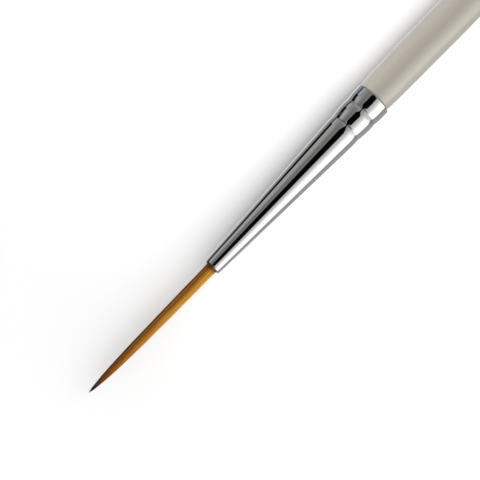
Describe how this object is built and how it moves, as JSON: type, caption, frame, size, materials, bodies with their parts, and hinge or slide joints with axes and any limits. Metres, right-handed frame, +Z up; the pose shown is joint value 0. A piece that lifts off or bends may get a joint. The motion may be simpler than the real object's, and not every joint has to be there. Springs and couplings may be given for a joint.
{
  "type": "detail paint brush",
  "caption": "Slim round detail brush: pointed synthetic tuft, tapered plated ferrule crimped over a turned, lacquered wooden handle.",
  "frame": {"origin": "on the surface that the brush lies on, below the middle of its length", "axes": "+X along the brush towards the end of the handle, -X towards the tip, +Z up, away from the surface"},
  "size_m": [0.1826, 0.0056, 0.0057],
  "materials": {
    "lacquered_wood": "gloss",
    "nickel_plate": "polished",
    "filament": "satin",
    "resin": "gloss",
    "glue": "satin",
    "thread": "matte"
  },
  "bodies": {
    "brush_body": {"handle": "lacquered_wood", "ferrule": "nickel_plate", "tenon_glue": "glue", "root_resin": "resin", "tuft_root": "resin", "binding_thread": "thread"},
    "tuft": {"filament_01": "filament", "filament_02": "filament", "filament_03": "filament", "filament_04": "filament", "filament_05": "filament", "filament_06": "filament", "filament_07": "filament", "filament_08": "filament", "filament_09": "filament", "filament_10": "filament", "filament_11": "filament", "filament_12": "filament", "filament_13": "filament", "filament_14": "filament", "filament_15": "filament", "filament_16": "filament", "filament_17": "filament", "filament_18": "filament", "filament_19": "filament", "filament_20": "filament", "filament_21": "filament", "filament_22": "filament", "filament_23": "filament", "filament_24": "filament", "filament_25": "filament", "filament_26": "filament", "filament_27": "filament", "filament_28": "filament", "filament_29": "filament", "filament_30": "filament", "filament_31": "filament", "filament_32": "filament", "filament_33": "filament", "filament_34": "filament", "filament_35": "filament", "filament_36": "filament", "filament_37": "filament"}
  },
  "joints": [
    {"name": "tuft_bend", "type": "hinge", "parent": "brush_body", "child": "tuft", "pos_m": [-0.06755, 0, 0.00284], "axis": [0, 0, 1], "range_deg": [-40, 40], "stiffness_Nm_per_rad": 0.0002}
  ]
}
